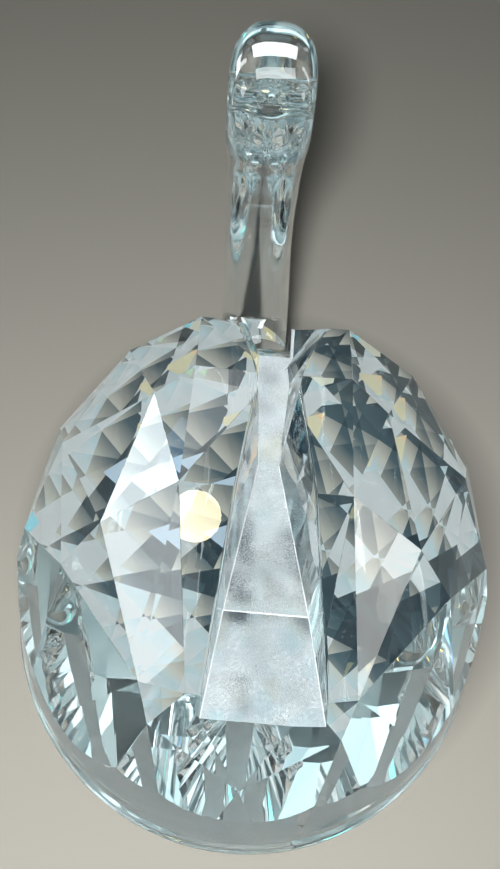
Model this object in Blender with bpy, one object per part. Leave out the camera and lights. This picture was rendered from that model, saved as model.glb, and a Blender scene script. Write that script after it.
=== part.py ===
"""A crystal swan: a facet-cut body with two raised wings and a ground channel between them, and a neck."""
import math

import bmesh
import bpy
from mathutils import Vector

MM = 0.001

# Body blank. The facet corners lie on a dome stretched to these half sizes, centred near the base.
BODY_HALF_WIDTH = 19.5 * MM
BODY_HALF_LENGTH = 22.9 * MM
BODY_HALF_HEIGHT = 25.0 * MM
BODY_CENTRE_HEIGHT = 2.0 * MM

# The facet rows run round an axis that rises to the tail, which is where their last corner sits.
TAIL_RISE = math.radians(20.0)

# Each row of corners: its place along the axis as a share of the half length, then the angles from the
# top of the corners on one side, in degrees. The other side mirrors them.
ROWS = (
    (-0.80, (35.0,)),
    (-0.66, (22.0, 47.0)),
    (-0.50, (60.0,)),
    (-0.26, (18.0, 37.0)),
    (-0.11, (57.5, 72.0)),
    (0.10, (52.5,)),
    (0.14, (17.0,)),
    (0.21, (0.0, 26.0, 70.0)),
    (0.54, (21.0, 42.5, 57.5, 84.0)),
    (0.87, (50.5,)),
    (0.92, (33.0, 59.5)),
)
TAIL_CORNER_AT = 20.5 * MM
TAIL_CORNER_HEIGHT = 9.6 * MM
# A row corner lower than this is left out, so that the lowest facets run down to the edge band.
LOWEST_ROW_CORNER = 6.5 * MM

# Base. A flat oval. Above it the blank is smooth and leans in a little, and the lowest facets are cut
# into it, which leaves a plain edge band with a scalloped top.
BASE_HALF_WIDTH = 19.2 * MM
BASE_HALF_LENGTH = 21.8 * MM
BAND_FOOT_ROUND = 0.3 * MM
BAND_HEIGHT = 3.0 * MM
BAND_LEAN = 0.3 * MM
BLANK_WALL_HEIGHT = 11.0 * MM
BLANK_WALL_LEAN = 0.5 * MM
LOW_CORNER_INSET = 1.2 * MM
BAND_STEPS = 96
GIRDLE_CORNERS = 16
GIRDLE_STAND_OUT = 0.36 * MM

# Channel between the wings: a narrow waist, opening to a crease in the floor, and to a mouth at the neck
# where its walls lean out. It is cut as far up as this top.
WAIST_AT = -2.2 * MM
WAIST_HALF_WIDTH = 0.8 * MM
MOUTH_AT = -16.0 * MM
MOUTH_HALF_WIDTH = 1.4 * MM
CREASE_HALF_WIDTH = 3.0 * MM
WALL_LEAN = math.radians(4.0)
MOUTH_LEAN = math.radians(42.0)
MOUTH_STEPS = 10
CHANNEL_TOP = 27.5 * MM
CHANNEL_OFFSET = -0.35 * MM
CHANNEL_SKEW = math.radians(2.6)
# Its floor is two planes that meet at a crease.
CREASE_AT = 10.6 * MM
CREASE_HEIGHT = 17.3 * MM
FRONT_FLOOR_FALL = math.radians(1.2)
TAIL_FLOOR_FALL = math.radians(12.5)
CUT_REACH = 40.0 * MM

# Neck seat: a flat-bottomed notch in the front of the body, just wider than the foot of the neck.
SEAT_TOP_AT = -13.3 * MM
SEAT_TOP_HEIGHT = 16.8 * MM
SEAT_TILT = math.radians(45.0)

# Neck and head. The foot stands square on the seat, this far down it, with the glue gap all round.
JOINT_GAP = 0.3 * MM
FOOT_DOWN_SEAT = 4.6 * MM
FOOT_HALF_WIDTH = 2.9 * MM
FOOT_HALF_DEPTH = 4.2 * MM
FOOT_RISE = 4.2 * MM
NECK_OFFSET = 1.7 * MM
NECK_SWAY = 0.3 * MM
NECK_SWAY_RISE = 9.0 * MM
FOOT_TOP_HALF_WIDTH = 2.8 * MM
FOOT_TOP_HALF_DEPTH = 3.4 * MM
# How square the back and the front of the neck are: 2 is round, more is squarer, less is a ridge.
FOOT_BACK_SHAPE = 2.4
FOOT_FRONT_SHAPE = 2.0
# Above the foot, to the tip of the bill: the place of the middle line along the body, its height, the
# half width across and half depth there, and the shapes of its back and front.
NECK_ROWS = (
    (-20.8 * MM, 23.5 * MM, 2.7 * MM, 2.7 * MM, 3.2, 1.6),
    (-19.6 * MM, 30.0 * MM, 2.75 * MM, 2.55 * MM, 3.8, 1.45),
    (-16.2 * MM, 36.0 * MM, 2.75 * MM, 2.45 * MM, 3.8, 1.45),
    (-12.7 * MM, 40.6 * MM, 2.8 * MM, 2.5 * MM, 3.6, 1.6),
    (-11.6 * MM, 43.1 * MM, 2.8 * MM, 2.6 * MM, 3.2, 1.9),
    (-12.9 * MM, 44.4 * MM, 2.8 * MM, 2.7 * MM, 2.8, 2.0),
    (-15.3 * MM, 43.7 * MM, 2.65 * MM, 2.6 * MM, 2.4, 2.0),
    (-17.6 * MM, 42.0 * MM, 2.1 * MM, 2.0 * MM, 2.2, 2.0),
    (-19.6 * MM, 40.0 * MM, 1.3 * MM, 1.1 * MM, 2.0, 2.0),
    (-21.5 * MM, 37.9 * MM, 0.9 * MM, 0.65 * MM, 2.0, 2.0),
    (-22.0 * MM, 37.3 * MM, 0.3 * MM, 0.2 * MM, 2.0, 2.0),
)
NECK_SIDES = 32
NECK_STEPS_PER_ROW = 6


def clear_scene():
    for obj in list(bpy.data.objects):
        bpy.data.objects.remove(obj, do_unlink=True)
    for group in list(bpy.data.collections):
        bpy.data.collections.remove(group)


def collection(name, hidden=False):
    group = bpy.data.collections.new(name)
    bpy.context.scene.collection.children.link(group)
    group.hide_render = hidden
    return group


def mesh_object(name, bm, group):
    bmesh.ops.recalc_face_normals(bm, faces=bm.faces)
    mesh = bpy.data.meshes.new(name)
    bm.to_mesh(mesh)
    bm.free()
    obj = bpy.data.objects.new(name, mesh)
    group.objects.link(obj)
    return obj


def ball_point(station, angle):
    """A point on the dome, by its share along the tilted axis and its angle from the top."""
    ring = math.sqrt(max(0.0, 1.0 - station * station))
    side = ring * math.sin(angle)
    rise = ring * math.cos(angle)
    along = station * math.cos(TAIL_RISE) - rise * math.sin(TAIL_RISE)
    up = station * math.sin(TAIL_RISE) + rise * math.cos(TAIL_RISE)
    height = BODY_CENTRE_HEIGHT + up * BODY_HALF_HEIGHT
    return Vector((side * BODY_HALF_WIDTH, along * BODY_HALF_LENGTH, height))


def base_point(angle, inset, height):
    """A point on the base outline, by its angle from the tail."""
    x = math.sin(angle) * (BASE_HALF_WIDTH - inset)
    y = math.cos(angle) * (BASE_HALF_LENGTH - inset)
    return Vector((x, y, height))


def blank_inset(height):
    """How far the smooth wall of the blank has leaned in from the base outline at this height."""
    if height <= BAND_HEIGHT:
        return BAND_LEAN * height / BAND_HEIGHT
    share = (height - BAND_HEIGHT) / (BLANK_WALL_HEIGHT - BAND_HEIGHT)
    return BAND_LEAN + (BLANK_WALL_LEAN - BAND_LEAN) * share


def drawn_in(point):
    """A low corner is drawn in from the wall of the blank, so that the facets below it lean in."""
    if point.z > BLANK_WALL_HEIGHT:
        return point
    across = point.x / (BASE_HALF_WIDTH - LOW_CORNER_INSET)
    along = point.y / (BASE_HALF_LENGTH - LOW_CORNER_INSET)
    share = min(1.0, 1.0 / math.hypot(across, along))
    return Vector((point.x * share, point.y * share, point.z))


def facet_corners():
    corners = [Vector((0.0, TAIL_CORNER_AT, TAIL_CORNER_HEIGHT))]
    for station, angles in ROWS:
        for degrees in angles:
            point = drawn_in(ball_point(station, math.radians(degrees)))
            if point.z < LOWEST_ROW_CORNER:
                continue
            corners.append(point)
            if degrees > 0:
                corners.append(Vector((-point.x, point.y, point.z)))
    inset = BAND_LEAN - GIRDLE_STAND_OUT
    for index in range(GIRDLE_CORNERS):
        angle = (index + 0.5) * math.tau / GIRDLE_CORNERS
        corners.append(base_point(angle, inset, BAND_HEIGHT))
        corners.append(base_point(angle, -2.0 * MM, -1.0 * MM))
    return corners


def hull_object(name, points, group):
    bm = bmesh.new()
    for point in points:
        bm.verts.new(point)
    result = bmesh.ops.convex_hull(bm, input=bm.verts)
    spare = [v for v in result["geom_interior"] if isinstance(v, bmesh.types.BMVert)]
    bmesh.ops.delete(bm, geom=spare, context="VERTS")
    bmesh.ops.dissolve_limit(bm, angle_limit=math.radians(0.5), verts=bm.verts, edges=bm.edges)
    return mesh_object(name, bm, group)


def loft(name, rings, group):
    """A closed solid through rings of points, all with the same count, its ends filled."""
    bm = bmesh.new()
    loops = [[bm.verts.new(point) for point in ring] for ring in rings]
    count = len(loops[0])
    for low, high in zip(loops, loops[1:]):
        for index in range(count):
            after = (index + 1) % count
            bm.faces.new((low[index], low[after], high[after], high[index]))
    bm.faces.new(loops[0])
    bm.faces.new(reversed(loops[-1]))
    return mesh_object(name, bm, group)


def blank_object(group):
    """The smooth outside of the blank, flared above its wall so that it stays clear of the upper facets."""
    rows = [(BAND_FOOT_ROUND, 0.0)]
    for height in (BAND_FOOT_ROUND, BAND_HEIGHT, BLANK_WALL_HEIGHT):
        rows.append((blank_inset(height), height))
    rows.append((-8.0 * MM, BLANK_WALL_HEIGHT + 4.0 * MM))
    rows.append((-8.0 * MM, CUT_REACH))
    rings = []
    for inset, height in rows:
        turns = (index * math.tau / BAND_STEPS for index in range(BAND_STEPS))
        rings.append([base_point(turn, inset, height) for turn in turns])
    return loft("cut_blank", rings, group)


def channel_floor(along):
    if along > CREASE_AT:
        return CREASE_HEIGHT - (along - CREASE_AT) * math.tan(TAIL_FLOOR_FALL)
    return CREASE_HEIGHT - (CREASE_AT - along) * math.tan(FRONT_FLOOR_FALL)


def channel_rows():
    """Place along, half width of the floor and lean of the walls. It opens smoothly from waist to mouth,
    and evenly from waist through crease to tail."""
    rows = [(-CUT_REACH, MOUTH_HALF_WIDTH, MOUTH_LEAN)]
    for step in reversed(range(MOUTH_STEPS + 1)):
        share = step / MOUTH_STEPS
        half = WAIST_HALF_WIDTH + (MOUTH_HALF_WIDTH - WAIST_HALF_WIDTH) * math.sin(share * math.pi / 2)
        lean = WALL_LEAN + (MOUTH_LEAN - WALL_LEAN) * share**2
        rows.append((WAIST_AT + (MOUTH_AT - WAIST_AT) * share, half, lean))
    opening = (CREASE_HALF_WIDTH - WAIST_HALF_WIDTH) / (CREASE_AT - WAIST_AT)
    for along in (CREASE_AT, CUT_REACH):
        rows.append((along, WAIST_HALF_WIDTH + opening * (along - WAIST_AT), WALL_LEAN))
    return rows


def channel_object(group):
    rings = []
    for along, half, lean in channel_rows():
        middle = CHANNEL_OFFSET - max(0.0, along) * math.tan(CHANNEL_SKEW)
        floor = channel_floor(along)
        top = half + (CHANNEL_TOP - floor) * math.tan(lean)
        ring = [Vector((middle - half, along, floor)), Vector((middle + half, along, floor))]
        ring += [Vector((middle + top, along, CHANNEL_TOP)), Vector((middle - top, along, CHANNEL_TOP))]
        rings.append(ring)
    return loft("cut_channel", rings, group)


def seat_point(down, out):
    """A point on the middle of the seat: down it from its top edge, then square out of it."""
    along = SEAT_TOP_AT - down * math.cos(SEAT_TILT) - out * math.sin(SEAT_TILT)
    height = SEAT_TOP_HEIGHT - down * math.sin(SEAT_TILT) + out * math.cos(SEAT_TILT)
    return Vector((NECK_OFFSET, along, height))


def seat_object(group):
    """A block whose lower face is the neck seat."""
    half = FOOT_HALF_WIDTH + JOINT_GAP
    rings = []
    for out in (0.0, CUT_REACH):
        ring = []
        for side, down in ((-half, 0.0), (half, 0.0), (half, CUT_REACH), (-half, CUT_REACH)):
            ring.append(seat_point(down, out) + Vector((side, 0.0, 0.0)))
        rings.append(ring)
    return loft("cut_seat", rings, group)


def neck_rows():
    """Centre, half width, half depth and both shapes at each point of the neck. Above the foot it sways."""
    foot = seat_point(FOOT_DOWN_SEAT, JOINT_GAP)
    foot_top = seat_point(FOOT_DOWN_SEAT, FOOT_RISE)
    shapes = (FOOT_BACK_SHAPE, FOOT_FRONT_SHAPE)
    rows = [(*foot, FOOT_HALF_WIDTH, FOOT_HALF_DEPTH, *shapes)]
    rows.append((*foot_top, FOOT_TOP_HALF_WIDTH, FOOT_TOP_HALF_DEPTH, *shapes))
    for along, height, *section in NECK_ROWS:
        share = min(1.0, (height - foot_top.z) / NECK_SWAY_RISE)
        rows.append((NECK_OFFSET + NECK_SWAY * share, along, height, *section))
    return rows


def smooth_through(rows, place):
    """Reads rows of numbers as one smooth curve. The whole part of the place counts rows."""
    index = min(int(place), len(rows) - 2)
    t = place - index
    around = [rows[max(0, min(len(rows) - 1, index + step))] for step in (-1, 0, 1, 2)]
    result = []
    for a, b, c, d in zip(*around):
        bend = (a * 2 - b * 5 + c * 4 - d) * t**2 + (b * 3 - a - c * 3 + d) * t**3
        result.append(0.5 * (b * 2 + (c - a) * t + bend))
    return result


def neck_outline(turn, half_width, half_depth, back_shape, front_shape):
    """How far across and how deep one point of the neck's outline is."""
    across = math.cos(turn)
    deep = math.sin(turn)
    power = 2.0 / (back_shape if deep > 0.0 else front_shape)
    return (
        math.copysign(abs(across) ** power, across) * half_width,
        math.copysign(abs(deep) ** power, deep) * half_depth,
    )


def neck_object(group):
    rows = neck_rows()
    across = Vector((1.0, 0.0, 0.0))
    steps = NECK_STEPS_PER_ROW * (len(rows) - 1)
    rings = []
    for step in range(steps + 1):
        place = step / NECK_STEPS_PER_ROW
        values = smooth_through(rows, place)
        centre = Vector(values[:3])
        before = Vector(smooth_through(rows, max(0.0, place - 0.05))[:3])
        after = Vector(smooth_through(rows, min(len(rows) - 1.0, place + 0.05))[:3])
        depth = (after - before).normalized().cross(across).normalized()
        ring = []
        for index in range(NECK_SIDES):
            turn = index * math.tau / NECK_SIDES
            aside, deep = neck_outline(turn, *values[3:])
            ring.append(centre + across * aside + depth * deep)
        rings.append(ring)
    return loft("neck_and_head", rings, group)


def boolean(obj, cutter, operation):
    modifier = obj.modifiers.new(operation.lower() + "_" + cutter.name, "BOOLEAN")
    modifier.operation = operation
    modifier.solver = "EXACT"
    modifier.object = cutter
    cutter.hide_render = True
    cutter.display_type = "WIRE"


def material(name, colour, roughness):
    item = bpy.data.materials.new(name)
    item.use_nodes = True
    shader = item.node_tree.nodes["Principled BSDF"]
    shader.inputs["Base Color"].default_value = (*colour, 1.0)
    shader.inputs["Roughness"].default_value = roughness
    shader.inputs["Transmission Weight"].default_value = 1.0
    shader.inputs["IOR"].default_value = 1.56
    return item


def main():
    clear_scene()
    parts = collection("crystal_swan")
    cutters = collection("cutters", hidden=True)

    body = hull_object("body", facet_corners(), parts)
    boolean(body, blank_object(cutters), "INTERSECT")
    boolean(body, channel_object(cutters), "DIFFERENCE")
    boolean(body, seat_object(cutters), "DIFFERENCE")
    body.data.materials.append(material("cut_crystal", (0.98, 0.99, 1.0), 0.0))

    neck = neck_object(parts)
    neck.data.materials.append(material("moulded_crystal", (0.98, 0.99, 1.0), 0.0))
    for face in neck.data.polygons:
        face.use_smooth = True


main()
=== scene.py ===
"""Looks for the crystal swan: polished facets, a ground channel and a smooth clear neck."""

import math

import bmesh
import bpy
from mathutils import Matrix, Vector


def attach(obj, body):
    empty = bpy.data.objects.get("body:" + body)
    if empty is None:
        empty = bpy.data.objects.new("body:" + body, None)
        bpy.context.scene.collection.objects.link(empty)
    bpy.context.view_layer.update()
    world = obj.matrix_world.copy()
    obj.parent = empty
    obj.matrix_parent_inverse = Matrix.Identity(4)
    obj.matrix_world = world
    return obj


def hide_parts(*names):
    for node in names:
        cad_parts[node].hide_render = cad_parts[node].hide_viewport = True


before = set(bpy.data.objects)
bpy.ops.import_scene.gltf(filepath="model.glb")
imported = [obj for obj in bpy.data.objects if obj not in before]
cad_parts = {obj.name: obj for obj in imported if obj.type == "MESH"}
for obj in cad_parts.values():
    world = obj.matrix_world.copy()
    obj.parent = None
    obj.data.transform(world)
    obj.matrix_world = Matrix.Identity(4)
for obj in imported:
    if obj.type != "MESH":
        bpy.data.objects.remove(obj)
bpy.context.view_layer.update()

MM = 0.001

# The camera, at the photo's viewing angle: its place, the way its back faces, its roll, and its
# focal length in pixels for a picture this many pixels high.
CAMERA_AT = Vector((2.498, 52.715, 93.636)) * MM
CAMERA_ELEVATION = math.radians(53.0)
CAMERA_AZIMUTH = math.radians(1.2439)
CAMERA_ROLL = math.radians(6.0894)
FOCAL_PIXELS = 1243.79
PICTURE_HEIGHT = 869
SENSOR_HEIGHT_MM = 24.0
CAMERA_NEAREST = 1.0 * MM

# The flash of the photo's camera shows in a facet as a small disc. The key lamp behind it lights
# the floor, and the crystal doesn't show it.
LIGHT_AIM = Vector((0.0, 0.0, 12.0)) * MM
FLASH_AT = Vector((6.6, 50.7, 93.4)) * MM
FLASH_SIZE = 6.9 * MM
FLASH_GLOW = 18.0
FLASH_COLOUR = (1.0, 0.90, 0.58)
KEY_SIZE = 10.0 * MM
KEY_GLOW = 560.0
KEY_COLOUR = (1.0, 1.0, 0.985)
KEY_BEHIND_FLASH = 4.0 * MM
# A weak wide fill, which the crystal doesn't show either.
FILL_AT = Vector((-60.0, 40.0, 500.0)) * MM
FILL_SIZE = 0.5
FILL_GLOW = 0.03
FILL_COLOUR = (1.0, 1.0, 1.0)
# Light boxes that only the crystal shows: name, direction and elevation in degrees, width,
# height, glow and colour. Direction 0 is behind the tail, and 90 is to the picture's right.
BOX_DISTANCE = 0.40
# These are mirrored on the outside of the facets only.
OUTER_BOXES = (
    ("window", 245, 17, 0.150, 0.120, 11.0, (0.88, 0.97, 1.00)),
    ("window_back", 300, 30, 0.130, 0.120, 6.0, (0.93, 0.98, 1.00)),
    ("window_high", 213, 50, 0.070, 0.060, 2.5, (0.95, 0.98, 1.00)),
    ("right", 68, 24, 0.090, 0.090, 5.0, (1.00, 0.97, 0.92)),
    ("right_front", 142, 28, 0.040, 0.100, 3.0, (0.95, 0.98, 1.00)),
)
# These are seen inside it.
INNER_BOXES = (
    ("inner_left", 240, 20, 0.160, 0.100, 1.1, (0.80, 0.96, 1.00)),
    ("inner_back_left", 300, 30, 0.130, 0.120, 1.0, (0.90, 0.98, 1.00)),
    ("inner_right", 75, 24, 0.110, 0.100, 1.0, (1.00, 0.97, 0.90)),
    ("front_low", 182, 12, 0.180, 0.050, 1.0, (0.70, 0.95, 1.00)),
    ("front_middle", 182, 42, 0.140, 0.110, 0.7, (0.66, 0.95, 1.00)),
    ("front_left", 212, 34, 0.070, 0.110, 1.1, (0.72, 0.96, 1.00)),
    ("front_right", 152, 44, 0.060, 0.120, 1.1, (0.78, 0.97, 1.00)),
    ("front_high", 178, 72, 0.110, 0.050, 1.0, (1.00, 0.98, 0.92)),
    ("rear_low", -12, 18, 0.120, 0.040, 1.0, (1.00, 0.96, 0.88)),
    ("rear_high", 20, 66, 0.090, 0.060, 0.9, (0.80, 0.95, 1.00)),
    ("teal", 198, 24, 0.044, 0.050, 1.6, (0.06, 0.80, 0.62)),
    ("teal_right", 128, 30, 0.044, 0.044, 1.5, (0.06, 0.76, 0.66)),
    ("amber", 166, 30, 0.030, 0.034, 2.6, (1.00, 0.72, 0.20)),
    ("yellow", 190, 62, 0.036, 0.030, 2.4, (1.00, 0.90, 0.40)),
    ("blue", 228, 44, 0.040, 0.040, 2.0, (0.25, 0.55, 1.00)),
)
# And these are mirrored on the outside of the neck alone.
NECK_BOXES = (
    ("neck_high", 184, 66, 0.340, 0.200, 17.0, (0.93, 1.00, 1.00)),
    ("neck_back", 12, 74, 0.300, 0.120, 8.0, (0.95, 1.00, 1.00)),
    ("neck_left", 252, 30, 0.060, 0.260, 9.0, (0.93, 0.98, 1.00)),
    ("neck_right", 100, 34, 0.040, 0.240, 7.0, (0.98, 0.99, 1.00)),
)

# Behind everything the camera sees one plain colour, and the floor gets a little even light.
BACKDROP_COLOUR = (0.20, 0.20, 0.19, 1.0)
AROUND_COLOUR = (0.055, 0.053, 0.050, 1.0)
# The room that the crystal shows: soft parts, dark and bright, this many across.
ROOM_PARTS = 2.6
ROOM_DETAIL = 3.0
ROOM_DISTORTION = 0.6
ROOM_COLOURS = (
    (0.34, (0.018, 0.034, 0.042, 1.0)),
    (0.46, (0.100, 0.160, 0.175, 1.0)),
    (0.53, (0.290, 0.420, 0.440, 1.0)),
    (0.62, (0.480, 0.640, 0.660, 1.0)),
    (0.74, (0.860, 0.950, 0.970, 1.0)),
)
# Light that has passed through the crystal is limited to this, which keeps speckles away.
INDIRECT_CLAMP = 6.0
MOST_BOUNCES = 24
MOST_REFLECTIONS = 16

FLOOR_DROP = 0.02 * MM
FLOOR_HALF_SIZE = 1.2
FLOOR_COLOUR = (0.43, 0.415, 0.37, 1.0)
FLOOR_ROUGHNESS = 0.75
FLOOR_GLOSS = 0.2
# The body casts no lamp shadow, so that the floor under it stays lit. This soft oval on the floor
# stands in for it, and shows past the base on the side away from the lamp: its middle, its half
# width and half length, the shares of them between which it fades, and its colour.
SHADE_AT = (-1.6 * MM, -7.5 * MM)
SHADE_HALF_WIDTH = 19.6 * MM
SHADE_HALF_LENGTH = 23.0 * MM
SHADE_FADE = (0.90, 1.16)
SHADE_COLOUR = (0.17, 0.163, 0.15, 1.0)
# Painted light: the patches of light that the facets would throw on the floor under the body are
# painted into the floor's colour. The patches fill an oval of this half width and half length, and
# come in three sizes. Three sets of parallel lines bound them, turned by these angles in degrees,
# and each size is turned as a whole as well.
PATCH_HALF_WIDTH = 19.0 * MM
PATCH_HALF_LENGTH = 21.6 * MM
PATCH_SIZES = (12.0 * MM, 7.0 * MM, 4.0 * MM)
PATCH_TURNS = (2.0, 77.0, 44.0)
LINE_TURNS = (0.0, 63.0, 118.0)
# How much each size grows brighter across a patch.
PATCH_SHADES = (0.25, 0.25, 0.2)
PATCH_COLOURS = (
    (0.00, (0.010, 0.024, 0.034, 1.0)),
    (0.28, (0.048, 0.085, 0.105, 1.0)),
    (0.44, (0.250, 0.265, 0.250, 1.0)),
    (0.60, (0.500, 0.505, 0.450, 1.0)),
    (0.76, (0.500, 0.660, 0.710, 1.0)),
    (1.00, (0.860, 0.940, 0.970, 1.0)),
)
# The patches grow brighter by this much for each metre to the picture's left and towards the neck.
PATCH_TO_LEFT = 4.0
PATCH_TO_NECK = 5.0
# The three sizes add up to between 0 and about 3.5. This much stays darkest, and the rest is
# stretched.
PATCH_DARKNESS = 1.26
PATCH_CONTRAST = 1.25
# A few small patches of painted light break up into colours.
FLECK_SIZE = 2.6 * MM
FLECK_TURN = 52.0
FLECK_FROM = 0.95
FLECK_COLOURS = (
    (0.00, (0.22, 0.85, 0.84, 1.0)),
    (0.35, (0.35, 0.62, 1.00, 1.0)),
    (0.60, (1.00, 0.90, 0.50, 1.0)),
    (0.84, (1.00, 0.70, 0.42, 1.0)),
    (1.00, (0.20, 0.80, 0.66, 1.0)),
)

CRYSTAL_IOR = 1.56
# Polished and moulded crystal: colour, scale of the faint unevenness and its strength.
POLISHED = ((0.950, 0.984, 0.988, 1.0), 220.0, 0.02)
MOULDED = ((0.925, 0.945, 0.945, 1.0), 260.0, 0.06)
POLISH_DETAIL = 2.0
POLISH_DEPTH = 0.1 * MM
# The ground floor runs from the neck to the tail between these places. How white it is along it:
# whitest at the neck, then thinner, and almost clear just past the crease.
GROUND_FROM = -16.0 * MM
GROUND_TO = 19.0 * MM
GROUND_COLOUR = (0.72, 0.80, 0.85, 1.0)
GROUND_WHITE = (
    (0.00, 0.80), (0.22, 0.66), (0.42, 0.42), (0.62, 0.30),
    (0.755, 0.24), (0.765, 0.06), (0.88, 0.16), (1.00, 0.32),
)
GROUND_EDGE_COLOUR = (0.92, 0.97, 1.0, 1.0)
GROUND_EDGE_WHITE = ((0.00, 0.80), (1.00, 0.80))
# Its noises, as scale and detail: fine grains, clouds, and scratches along the channel.
GRAINS = (13000.0, 3.0)
CLOUDS = (420.0, 4.0)
SCRATCHES = (2400.0, 2.0)
SCRATCH_STRETCH = (1.0, 0.08, 1.0)
# A range of a noise, and how much white or roughness it turns into.
GRAIN_WHITE = ((0.46, 0.64), (-0.08, 0.22))
CLOUD_WHITE = ((0.35, 0.65), (-0.13, 0.13))
CLOUD_ROUGHNESS = ((0.3, 0.7), (0.04, 0.16))
# How much light passes where there is no white, and where all is white.
WHITE_CLEARNESS = (0.97, 0.03)
GROUND_BUMP = 0.35
GROUND_DEPTH = 0.03 * MM

# Facet edges are polished to a fine bright line this wide.
FACET_EDGE = 0.06 * MM
# The channel's crease and the foot of its walls are left ground white.
GROUND_EDGE = 0.22 * MM
GROUND_FOOT = 0.16 * MM
# The rims of the wings beside the channel are rounded over, above this height.
RIM_EDGE = 0.50 * MM
RIM_SEGMENTS = 4
RIM_LEAST_HEIGHT = 19.0 * MM
# An edge counts as one of these from this angle in degrees, and from this length.
GROUND_LEAST_ANGLE = 7.0
RIM_LEAST_ANGLE = 25.0
FACET_LEAST_ANGLE = 9.0
LEAST_EDGE = 0.3 * MM
LEAST_FACET_EDGE = 0.6 * MM
# Smooth faces stay sharp to each other from this angle.
SMOOTH_MOST = math.radians(24.0)
# The channel's floor is level enough, and lies between these heights, this near to the middle. A
# wall beside it faces sideways at least this much.
CHANNEL_LEAST_LEVEL = 0.9
CHANNEL_FLOOR_LOWEST = 13.0 * MM
CHANNEL_FLOOR_HIGHEST = 18.0 * MM
CHANNEL_REACH = 7.0 * MM
WALL_LEAST_STEEP = 0.6
# The CAD's triangles are joined into flat facets: points this close, and faces this near to one
# plane.
MERGE_DISTANCE = 0.0005 * MM
FLAT_ANGLE = math.radians(0.3)
# Fine lines round the edge band, as heights and depths. A step of the band is narrower than this,
# lies lower than this, and faces up or down less than this.
BAND_LINES = (
    (0.50 * MM, 0.00 * MM),
    (0.75 * MM, 0.06 * MM),
    (1.00 * MM, 0.01 * MM),
    (1.55 * MM, 0.00 * MM),
    (1.80 * MM, 0.05 * MM),
    (2.05 * MM, 0.00 * MM),
)
BAND_STEP = 1.6 * MM
BAND_REACH = 9.0 * MM
BAND_MOST_LEVEL = 0.5
LINE_TOLERANCE = 0.001 * MM
# Which material of the body a face has.
CLEAR, GROUND, WHITE_EDGE = 0, 1, 2

# The neck's shape, as in the part's source: the tilted seat that its foot stands on, and the foot.
SEAT_TOP_AT = -13.3 * MM
SEAT_TOP_HEIGHT = 16.8 * MM
SEAT_TILT = math.radians(45.0)
JOINT_GAP = 0.3 * MM
FOOT_DOWN_SEAT = 4.6 * MM
FOOT_HALF_WIDTH = 2.9 * MM
FOOT_HALF_DEPTH = 4.2 * MM
FOOT_RISE = 4.2 * MM
FOOT_TOP_HALF_WIDTH = 2.8 * MM
FOOT_TOP_HALF_DEPTH = 3.4 * MM
# The neck stands this far to one side, and sways this much further over this height.
NECK_OFFSET = 1.7 * MM
NECK_SWAY = 0.3 * MM
NECK_SWAY_RISE = 9.0 * MM
# How square the back and the front of the neck are: 2 is round, more is squarer, less is a ridge.
FOOT_BACK_SHAPE = 2.4
FOOT_FRONT_SHAPE = 2.0
# Above the foot, to the tip of the bill: the place of the middle line along the body, its height,
# the half width and half depth there, and the shapes of its back and front.
NECK_ROWS = (
    (-20.8 * MM, 23.5 * MM, 2.7 * MM, 2.7 * MM, 3.2, 1.6),
    (-19.6 * MM, 30.0 * MM, 2.75 * MM, 2.55 * MM, 3.8, 1.45),
    (-16.2 * MM, 36.0 * MM, 2.75 * MM, 2.45 * MM, 3.8, 1.45),
    (-12.7 * MM, 40.6 * MM, 2.8 * MM, 2.5 * MM, 3.6, 1.6),
    (-11.6 * MM, 43.1 * MM, 2.8 * MM, 2.6 * MM, 3.2, 1.9),
    (-12.9 * MM, 44.4 * MM, 2.8 * MM, 2.7 * MM, 2.8, 2.0),
    (-15.3 * MM, 43.7 * MM, 2.65 * MM, 2.6 * MM, 2.4, 2.0),
    (-17.6 * MM, 42.0 * MM, 2.1 * MM, 2.0 * MM, 2.2, 2.0),
    (-19.6 * MM, 40.0 * MM, 1.3 * MM, 1.1 * MM, 2.0, 2.0),
    (-21.5 * MM, 37.9 * MM, 0.9 * MM, 0.65 * MM, 2.0, 2.0),
    (-22.0 * MM, 37.3 * MM, 0.3 * MM, 0.2 * MM, 2.0, 2.0),
)
NECK_SIDES = 96
NECK_STEPS_PER_ROW = 12
# The direction of the middle line is read this share of a row before and after each ring.
NECK_LOOK = 0.05
NECK_SHARP = math.radians(40.0)


def set_camera():
    data = bpy.data.cameras.new("photo_camera")
    camera = bpy.data.objects.new("photo_camera", data)
    bpy.context.scene.collection.objects.link(camera)
    flat = math.cos(CAMERA_ELEVATION)
    back = Vector((
        math.sin(CAMERA_AZIMUTH) * flat,
        math.cos(CAMERA_AZIMUTH) * flat,
        math.sin(CAMERA_ELEVATION),
    ))
    right = Vector((0.0, 0.0, 1.0)).cross(back).normalized()
    up = back.cross(right)
    rolled_right = right * math.cos(CAMERA_ROLL) + up * math.sin(CAMERA_ROLL)
    rolled_up = up * math.cos(CAMERA_ROLL) - right * math.sin(CAMERA_ROLL)
    turn = Matrix((rolled_right, rolled_up, back)).transposed()
    camera.matrix_world = Matrix.Translation(CAMERA_AT) @ turn.to_4x4()
    data.sensor_fit = "VERTICAL"
    data.sensor_height = SENSOR_HEIGHT_MM
    data.lens = FOCAL_PIXELS / PICTURE_HEIGHT * SENSOR_HEIGHT_MM
    data.clip_start = CAMERA_NEAREST
    bpy.context.scene.camera = camera


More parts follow.
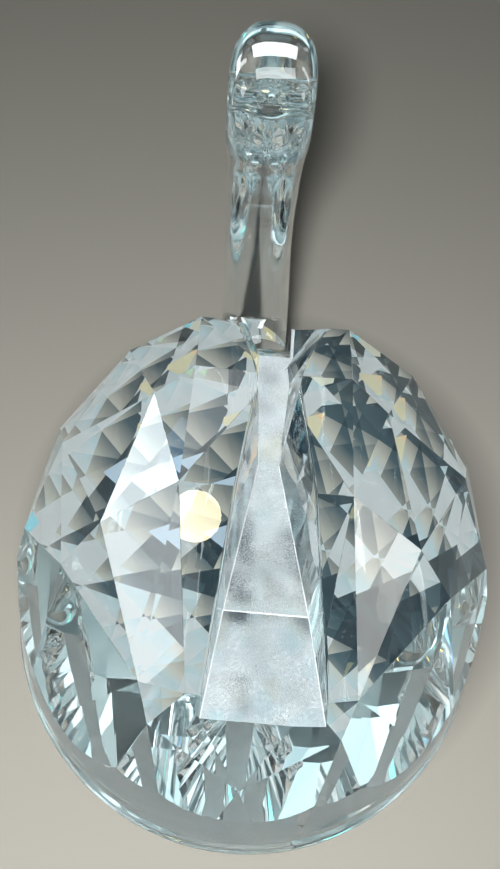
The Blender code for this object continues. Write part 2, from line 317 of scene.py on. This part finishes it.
def lamp(name, shape, size, glow, colour, place):
    """A flat light that faces the object. Glow is how bright its face is, so a larger one gives
    more."""
    data = bpy.data.lights.new(name, "AREA")
    data.shape = shape
    data.size, data.size_y = size
    area = size[0] * size[1] * (math.pi / 4 if shape == "DISK" else 1.0)
    data.energy = glow * math.pi * area
    data.color = colour
    light = bpy.data.objects.new(name, data)
    bpy.context.scene.collection.objects.link(light)
    light.location = place
    light.rotation_euler = (LIGHT_AIM - place).to_track_quat("-Z", "Y").to_euler()
    return light


def set_box(name, azimuth, elevation, width, height, glow, colour):
    turn, rise = math.radians(azimuth), math.radians(elevation)
    flat = math.cos(rise)
    way = Vector((-math.sin(turn) * flat, math.cos(turn) * flat, math.sin(rise)))
    box = lamp(name, "RECTANGLE", (width, height), glow, colour, way * BOX_DISTANCE)
    box.visible_diffuse = False
    return box


def light_neck(neck):
    alone = bpy.data.collections.new("neck_alone")
    alone.objects.link(neck)
    for row in NECK_BOXES:
        box = set_box(*row)
        box.visible_transmission = False
        box.light_linking.receiver_collection = alone


def set_lamps():
    key_at = FLASH_AT + (FLASH_AT - LIGHT_AIM).normalized() * KEY_BEHIND_FLASH
    key = lamp("key", "DISK", (KEY_SIZE, KEY_SIZE), KEY_GLOW, KEY_COLOUR, key_at)
    flash = lamp("flash", "DISK", (FLASH_SIZE, FLASH_SIZE), FLASH_GLOW, FLASH_COLOUR, FLASH_AT)
    flash.visible_diffuse = False
    for row in OUTER_BOXES:
        set_box(*row).visible_transmission = False
    for row in INNER_BOXES:
        set_box(*row)
    fill = lamp("fill", "RECTANGLE", (FILL_SIZE, FILL_SIZE), FILL_GLOW, FILL_COLOUR, FILL_AT)
    for light in (key, fill):
        light.visible_glossy = False
        light.visible_transmission = False


def set_room():
    """The room round the crystal. Seen straight from the camera it is plain, from the floor dim."""
    world = bpy.data.worlds.new("studio")
    world.use_nodes = True
    nodes, links = world.node_tree.nodes, world.node_tree.links
    place = nodes.new("ShaderNodeTexCoord").outputs["Generated"]
    parts = nodes.new("ShaderNodeTexNoise")
    parts.inputs["Scale"].default_value = ROOM_PARTS
    parts.inputs["Detail"].default_value = ROOM_DETAIL
    parts.inputs["Distortion"].default_value = ROOM_DISTORTION
    links.new(place, parts.inputs["Vector"])
    room = ramp_node(nodes, links, parts.outputs["Fac"], ROOM_COLOURS)
    path = nodes.new("ShaderNodeLightPath")
    room = mix_node(nodes, links, path.outputs["Is Camera Ray"], room, BACKDROP_COLOUR)
    room = mix_node(nodes, links, path.outputs["Is Diffuse Ray"], room, AROUND_COLOUR)
    links.new(room, nodes["Background"].inputs["Color"])
    world.cycles.sampling_method = "NONE"
    bpy.context.scene.world = world


def new_material(name):
    item = bpy.data.materials.new(name)
    item.use_nodes = True
    nodes = item.node_tree.nodes
    return item, nodes, item.node_tree.links, nodes["Principled BSDF"]


def put(links, socket, value):
    """Links an output to a socket, or sets the socket to a number, a colour or a vector."""
    if isinstance(value, bpy.types.NodeSocket):
        links.new(value, socket)
    else:
        socket.default_value = value


def noise_node(nodes, links, place, scale, detail):
    noise = nodes.new("ShaderNodeTexNoise")
    noise.inputs["Scale"].default_value = scale
    noise.inputs["Detail"].default_value = detail
    links.new(place, noise.inputs["Vector"])
    return noise.outputs["Fac"]


def map_node(nodes, links, value, source, target):
    item = nodes.new("ShaderNodeMapRange")
    item.inputs["From Min"].default_value, item.inputs["From Max"].default_value = source
    item.inputs["To Min"].default_value, item.inputs["To Max"].default_value = target
    links.new(value, item.inputs["Value"])
    return item.outputs["Result"]


def math_node(nodes, links, operation, first, second=0.0):
    item = nodes.new("ShaderNodeMath")
    item.operation = operation
    put(links, item.inputs[0], first)
    put(links, item.inputs[1], second)
    return item.outputs["Value"]


def mix_node(nodes, links, share, first, second):
    """The first colour where the share is 0, and the second where it is 1."""
    item = nodes.new("ShaderNodeMix")
    item.data_type = "RGBA"
    put(links, item.inputs["Factor"], share)
    put(links, item.inputs["A"], first)
    put(links, item.inputs["B"], second)
    return item.outputs["Result"]


def ramp_node(nodes, links, share, stops):
    item = nodes.new("ShaderNodeValToRGB")
    elements = item.color_ramp.elements
    while len(elements) < len(stops):
        elements.new(0.5)
    for element, (at, colour) in zip(elements, stops):
        element.position = at
        element.color = colour
    links.new(share, item.inputs["Fac"])
    return item.outputs["Color"]


def place_node(nodes, links, place, scale, location=(0.0, 0.0, 0.0)):
    item = nodes.new("ShaderNodeMapping")
    item.inputs["Location"].default_value = location
    item.inputs["Scale"].default_value = scale
    links.new(place, item.inputs["Vector"])
    return item.outputs["Vector"]


def bump_node(nodes, links, shader, height, strength, distance):
    bump = nodes.new("ShaderNodeBump")
    bump.inputs["Strength"].default_value = strength
    bump.inputs["Distance"].default_value = distance
    links.new(height, bump.inputs["Height"])
    links.new(bump.outputs["Normal"], shader.inputs["Normal"])


def split_node(nodes, links, colour):
    item = nodes.new("ShaderNodeSeparateColor")
    links.new(colour, item.inputs["Color"])
    return item.outputs


def axes_node(nodes, links, place):
    item = nodes.new("ShaderNodeSeparateXYZ")
    links.new(place, item.inputs["Vector"])
    return item.outputs


def crystal(name, colour, bump_scale, bump_strength):
    """Clear polished crystal. A faint unevenness, as of hand polishing, breaks up reflections."""
    item, nodes, links, shader = new_material(name)
    shader.inputs["Base Color"].default_value = colour
    shader.inputs["Roughness"].default_value = 0.0
    shader.inputs["IOR"].default_value = CRYSTAL_IOR
    shader.inputs["Transmission Weight"].default_value = 1.0
    place = nodes.new("ShaderNodeTexCoord").outputs["Object"]
    noise = noise_node(nodes, links, place, bump_scale, POLISH_DETAIL)
    bump_node(nodes, links, shader, noise, bump_strength, POLISH_DEPTH)
    return item


def ground_crystal(name, colour, white_stops):
    """Crystal ground lightly by a wheel: white grains and clouds over clear crystal. The stops say
    how white it is from the neck to the tail."""
    item, nodes, links, shader = new_material(name)
    shader.inputs["Base Color"].default_value = colour
    shader.inputs["IOR"].default_value = CRYSTAL_IOR
    place = nodes.new("ShaderNodeTexCoord").outputs["Object"]
    grain = noise_node(nodes, links, place, *GRAINS)
    cloud = noise_node(nodes, links, place, *CLOUDS)
    stretched = place_node(nodes, links, place, SCRATCH_STRETCH)
    scratch = noise_node(nodes, links, stretched, *SCRATCHES)
    along = axes_node(nodes, links, place)["Y"]
    share = map_node(nodes, links, along, (GROUND_FROM, GROUND_TO), (0.0, 1.0))
    greys = [(at, (value, value, value, 1.0)) for at, value in white_stops]
    white = ramp_node(nodes, links, share, greys)
    for noise, (source, target) in ((grain, GRAIN_WHITE), (cloud, CLOUD_WHITE)):
        white = math_node(nodes, links, "ADD", white, map_node(nodes, links, noise, source, target))
    clear = map_node(nodes, links, white, (0.0, 1.0), WHITE_CLEARNESS)
    links.new(clear, shader.inputs["Transmission Weight"])
    links.new(map_node(nodes, links, cloud, *CLOUD_ROUGHNESS), shader.inputs["Roughness"])
    height = math_node(nodes, links, "ADD", grain, scratch)
    bump_node(nodes, links, shader, height, GROUND_BUMP, GROUND_DEPTH)
    return item


def triangles(nodes, links, place, size, turn):
    """Cuts the plane by three sets of parallel lines. Gives the random numbers of each piece, and
    how far across its strip of the first set a point lies."""
    counts = nodes.new("ShaderNodeCombineXYZ")
    first = None
    for socket, line_turn in zip(counts.inputs, LINE_TURNS):
        angle = turn + line_turn
        way = Vector((math.cos(math.radians(angle)), math.sin(math.radians(angle)), 0.0))
        across = nodes.new("ShaderNodeVectorMath")
        across.operation = "DOT_PRODUCT"
        across.inputs[1].default_value = way / size
        links.new(place, across.inputs[0])
        strip = math_node(nodes, links, "ADD", across.outputs["Value"], angle)
        links.new(math_node(nodes, links, "FLOOR", strip), socket)
        first = first or math_node(nodes, links, "FRACT", strip)
    chance = nodes.new("ShaderNodeTexWhiteNoise")
    chance.noise_dimensions = "3D"
    links.new(counts.outputs["Vector"], chance.inputs["Vector"])
    return split_node(nodes, links, chance.outputs["Color"]), first


def oval_reach(nodes, links, place, half_width, half_length, middle=(0.0, 0.0)):
    """How far out a point of the floor is: 0 at the middle of the oval, and 1 on its edge."""
    scale = (1.0 / half_width, 1.0 / half_length, 0.0)
    location = (-middle[0] / half_width, -middle[1] / half_length, 0.0)
    length = nodes.new("ShaderNodeVectorMath")
    length.operation = "LENGTH"
    links.new(place_node(nodes, links, place, scale, location), length.inputs[0])
    return length.outputs["Value"]


def patch_colour(nodes, links, place):
    """Painted light: the patches of light that the facets would throw on the floor, painted as
    triangles of three sizes over each other, and a few small coloured ones."""
    total = None
    for size, turn, brighter in zip(PATCH_SIZES, PATCH_TURNS, PATCH_SHADES):
        chances, along = triangles(nodes, links, place, size, turn)
        shade = math_node(nodes, links, "MULTIPLY", along, brighter)
        value = math_node(nodes, links, "ADD", chances["Red"], shade)
        total = value if total is None else math_node(nodes, links, "ADD", total, value)
    axes = axes_node(nodes, links, place)
    share = math_node(nodes, links, "MULTIPLY", total, PATCH_CONTRAST)
    share = math_node(nodes, links, "SUBTRACT", share, PATCH_CONTRAST * PATCH_DARKNESS)
    for axis, brighter in (("X", PATCH_TO_LEFT), ("Y", -PATCH_TO_NECK)):
        added = math_node(nodes, links, "MULTIPLY", axes[axis], brighter)
        share = math_node(nodes, links, "ADD", share, added)
    patches = ramp_node(nodes, links, share, PATCH_COLOURS)
    chances, _ = triangles(nodes, links, place, FLECK_SIZE, FLECK_TURN)
    flecks = ramp_node(nodes, links, chances["Green"], FLECK_COLOURS)
    is_fleck = math_node(nodes, links, "GREATER_THAN", chances["Blue"], FLECK_FROM)
    return mix_node(nodes, links, is_fleck, patches, flecks)


def floor_material():
    """A plain floor, with a painted shadow beside the body and painted patches of light under it.
    """
    item, nodes, links, shader = new_material("pale_floor")
    shader.inputs["Roughness"].default_value = FLOOR_ROUGHNESS
    shader.inputs["Specular IOR Level"].default_value = FLOOR_GLOSS
    place = nodes.new("ShaderNodeTexCoord").outputs["Object"]
    # Painted shadow: a soft dark oval past the base, where the body's lamp shadow would fall.
    away = oval_reach(nodes, links, place, SHADE_HALF_WIDTH, SHADE_HALF_LENGTH, SHADE_AT)
    lit = map_node(nodes, links, away, SHADE_FADE, (0.0, 1.0))
    plain = mix_node(nodes, links, lit, SHADE_COLOUR, FLOOR_COLOUR)
    # Painted light: under the body the floor takes the colour of the painted patches of light.
    reach = oval_reach(nodes, links, place, PATCH_HALF_WIDTH, PATCH_HALF_LENGTH)
    is_under = math_node(nodes, links, "LESS_THAN", reach, 1.0)
    colour = mix_node(nodes, links, is_under, plain, patch_colour(nodes, links, place))
    links.new(colour, shader.inputs["Base Color"])
    return item


def make_floor():
    mesh = bpy.data.meshes.new("floor")
    sides = ((-1, -1), (1, -1), (1, 1), (-1, 1))
    corners = [(x * FLOOR_HALF_SIZE, y * FLOOR_HALF_SIZE, -FLOOR_DROP) for x, y in sides]
    mesh.from_pydata(corners, [], [(0, 1, 2, 3)])
    mesh.materials.append(floor_material())
    floor = bpy.data.objects.new("floor", mesh)
    bpy.context.scene.collection.objects.link(floor)


def is_channel_floor(face):
    middle = face.calc_center_median()
    level = face.normal.z > CHANNEL_LEAST_LEVEL
    at_height = CHANNEL_FLOOR_LOWEST < middle.z < CHANNEL_FLOOR_HIGHEST
    return level and at_height and abs(middle.x) < CHANNEL_REACH


def is_narrow(face, width):
    return face.calc_area() < width * max(edge.calc_length() for edge in face.edges)


def is_band(face):
    """Whether this face is one of the narrow upright steps of the edge band, which is smooth all
    round."""
    upright = abs(face.normal.z) < BAND_MOST_LEVEL
    return face.calc_center_median().z < BAND_REACH and is_narrow(face, BAND_STEP) and upright


def line_band(bm):
    """Runs the fine lines round the edge band."""
    for height, _ in BAND_LINES:
        everything = bm.verts[:] + bm.edges[:] + bm.faces[:]
        bmesh.ops.bisect_plane(
            bm, geom=everything, plane_co=(0.0, 0.0, height), plane_no=(0.0, 0.0, 1.0)
        )
    for vert in bm.verts:
        for height, depth in BAND_LINES:
            if abs(vert.co.z - height) < LINE_TOLERANCE:
                flat = math.hypot(vert.co.x, vert.co.y)
                vert.co.x -= vert.co.x / flat * depth
                vert.co.y -= vert.co.y / flat * depth


def bevelled(bm, edges, width, segments, material_index):
    """The new faces. At -1 they keep the material beside them."""
    return bmesh.ops.bevel(
        bm, geom=edges, offset=width / 2, offset_type="WIDTH", segments=segments, profile=0.5,
        affect="EDGES", clamp_overlap=False, material=material_index,
    )["faces"]


def sharp_edges(bm, least_angle, chosen):
    return [
        edge for edge in bm.edges
        if len(edge.link_faces) == 2 and edge.calc_face_angle(0.0) > math.radians(least_angle)
        and not all(is_band(face) for face in edge.link_faces)
        and edge.calc_length() > LEAST_EDGE and chosen(edge)
    ]


def dressed_body(node, materials):
    """The CAD body with flat facets, fine polished edges, round rims and a ground channel floor."""
    bm = bmesh.new()
    bm.from_mesh(node.data)
    bmesh.ops.remove_doubles(bm, verts=bm.verts, dist=MERGE_DISTANCE)
    bmesh.ops.dissolve_limit(bm, angle_limit=FLAT_ANGLE, verts=bm.verts, edges=bm.edges)
    line_band(bm)
    bm.normal_update()
    for face in bm.faces:
        face.material_index = GROUND if is_channel_floor(face) else CLEAR
    wall = bm.faces.layers.int.new("wall")

    def on_floor(edge):
        return any(face.material_index == GROUND for face in edge.link_faces)

    for face in bm.faces:
        beside = any(on_floor(edge) for edge in face.edges)
        if face.material_index == CLEAR and beside and abs(face.normal.x) > WALL_LEAST_STEEP:
            face[wall] = 1

    def is_crease(edge):
        return all(face.material_index == GROUND for face in edge.link_faces)

    def is_foot(edge):
        return on_floor(edge) and any(face[wall] for face in edge.link_faces)

    def is_rim(edge):
        walls = [face for face in edge.link_faces if face[wall]]
        high = max(vert.co.z for vert in edge.verts) > RIM_LEAST_HEIGHT
        return len(walls) == 1 and not on_floor(edge) and high

    def is_facet_edge(edge):
        clear = all(face.material_index == CLEAR for face in edge.link_faces)
        return clear and edge.calc_length() > LEAST_FACET_EDGE

    bevelled(bm, sharp_edges(bm, GROUND_LEAST_ANGLE, is_crease), GROUND_EDGE, 1, WHITE_EDGE)
    bevelled(bm, sharp_edges(bm, GROUND_LEAST_ANGLE, is_foot), GROUND_FOOT, 1, WHITE_EDGE)
    rims = sharp_edges(bm, RIM_LEAST_ANGLE, is_rim)
    for face in bevelled(bm, rims, RIM_EDGE, RIM_SEGMENTS, -1):
        if is_narrow(face, RIM_EDGE):
            face[wall] = 1
    bevelled(bm, sharp_edges(bm, FACET_LEAST_ANGLE, is_facet_edge), FACET_EDGE, 1, -1)
    for face in bm.faces:
        face.smooth = face[wall] == 1 or is_band(face)
    for edge in bm.edges:
        edge.smooth = len(edge.link_faces) == 2 and edge.calc_face_angle(0.0) < SMOOTH_MOST
    return finished("crystal_body", bm, materials)


def finished(name, bm, materials):
    mesh = bpy.data.meshes.new(name)
    bm.to_mesh(mesh)
    bm.free()
    for item in materials:
        mesh.materials.append(item)
    piece = bpy.data.objects.new(name, mesh)
    bpy.context.scene.collection.objects.link(piece)
    return piece


def seat_point(down, out):
    """A point this far down the tilted seat, and this far out of it."""
    along = SEAT_TOP_AT - down * math.cos(SEAT_TILT) - out * math.sin(SEAT_TILT)
    height = SEAT_TOP_HEIGHT - down * math.sin(SEAT_TILT) + out * math.cos(SEAT_TILT)
    return Vector((NECK_OFFSET, along, height))


def neck_rows():
    """Centre, half width, half depth and both shapes at each point of the neck. Above the foot it
    sways."""
    foot = seat_point(FOOT_DOWN_SEAT, JOINT_GAP)
    foot_top = seat_point(FOOT_DOWN_SEAT, FOOT_RISE)
    shapes = (FOOT_BACK_SHAPE, FOOT_FRONT_SHAPE)
    rows = [(*foot, FOOT_HALF_WIDTH, FOOT_HALF_DEPTH, *shapes)]
    rows.append((*foot_top, FOOT_TOP_HALF_WIDTH, FOOT_TOP_HALF_DEPTH, *shapes))
    for along, height, *section in NECK_ROWS:
        share = min(1.0, (height - foot_top.z) / NECK_SWAY_RISE)
        rows.append((NECK_OFFSET + NECK_SWAY * share, along, height, *section))
    return rows


def smooth_through(rows, place):
    """Reads rows of numbers as one smooth curve. The whole part of the place counts rows."""
    index = min(int(place), len(rows) - 2)
    t = place - index
    around = [rows[max(0, min(len(rows) - 1, index + step))] for step in (-1, 0, 1, 2)]
    result = []
    for a, b, c, d in zip(*around):
        bend = (a * 2 - b * 5 + c * 4 - d) * t**2 + (b * 3 - a - c * 3 + d) * t**3
        result.append(0.5 * (b * 2 + (c - a) * t + bend))
    return result


def neck_outline(turn, half_width, half_depth, back_shape, front_shape):
    """How far across and how deep one point of the neck's outline is."""
    across = math.cos(turn)
    deep = math.sin(turn)
    power = 2.0 / (back_shape if deep > 0.0 else front_shape)
    return (
        math.copysign(abs(across) ** power, across) * half_width,
        math.copysign(abs(deep) ** power, deep) * half_depth,
    )


def dressed_neck(materials):
    """The neck, the head and the bill as one smooth skin, made of rings round the middle line."""
    rows = neck_rows()
    across = Vector((1.0, 0.0, 0.0))
    steps = NECK_STEPS_PER_ROW * (len(rows) - 1)
    bm = bmesh.new()
    rings = []
    for step in range(steps + 1):
        place = step / NECK_STEPS_PER_ROW
        values = smooth_through(rows, place)
        centre = Vector(values[:3])
        before = Vector(smooth_through(rows, max(0.0, place - NECK_LOOK))[:3])
        after = Vector(smooth_through(rows, min(len(rows) - 1.0, place + NECK_LOOK))[:3])
        depth = (after - before).normalized().cross(across).normalized()
        ring = []
        for index in range(NECK_SIDES):
            turn = index * math.tau / NECK_SIDES
            aside, deep = neck_outline(turn, *values[3:])
            ring.append(bm.verts.new(centre + across * aside + depth * deep))
        rings.append(ring)
    for low, high in zip(rings, rings[1:]):
        for index in range(NECK_SIDES):
            beside = (index + 1) % NECK_SIDES
            bm.faces.new((low[index], low[beside], high[beside], high[index]))
    bm.faces.new(rings[0])
    bm.faces.new(reversed(rings[-1]))
    bmesh.ops.recalc_face_normals(bm, faces=bm.faces)
    for face in bm.faces:
        face.smooth = True
    piece = finished("crystal_neck", bm, materials)
    piece.data.set_sharp_from_angle(angle=NECK_SHARP)
    return piece


set_camera()
set_lamps()
set_room()
make_floor()

polished = crystal("polished_crystal", *POLISHED)
ground = ground_crystal("ground_crystal", GROUND_COLOUR, GROUND_WHITE)
ground_edge = ground_crystal("ground_edge", GROUND_EDGE_COLOUR, GROUND_EDGE_WHITE)
moulded = crystal("moulded_crystal", *MOULDED)

body = dressed_body(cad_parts["body"], (polished, ground, ground_edge))
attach(body, "root")
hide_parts("body")
body.visible_shadow = False
body.visible_diffuse = False

neck = dressed_neck((moulded,))
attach(neck, "root")
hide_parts("neck_and_head")
neck.visible_diffuse = False
light_neck(neck)

scene = bpy.context.scene
scene.cycles.max_bounces = MOST_BOUNCES
scene.cycles.glossy_bounces = MOST_REFLECTIONS
scene.cycles.transmission_bounces = MOST_BOUNCES
scene.cycles.sample_clamp_indirect = INDIRECT_CLAMP
scene.view_settings.view_transform = "Standard"
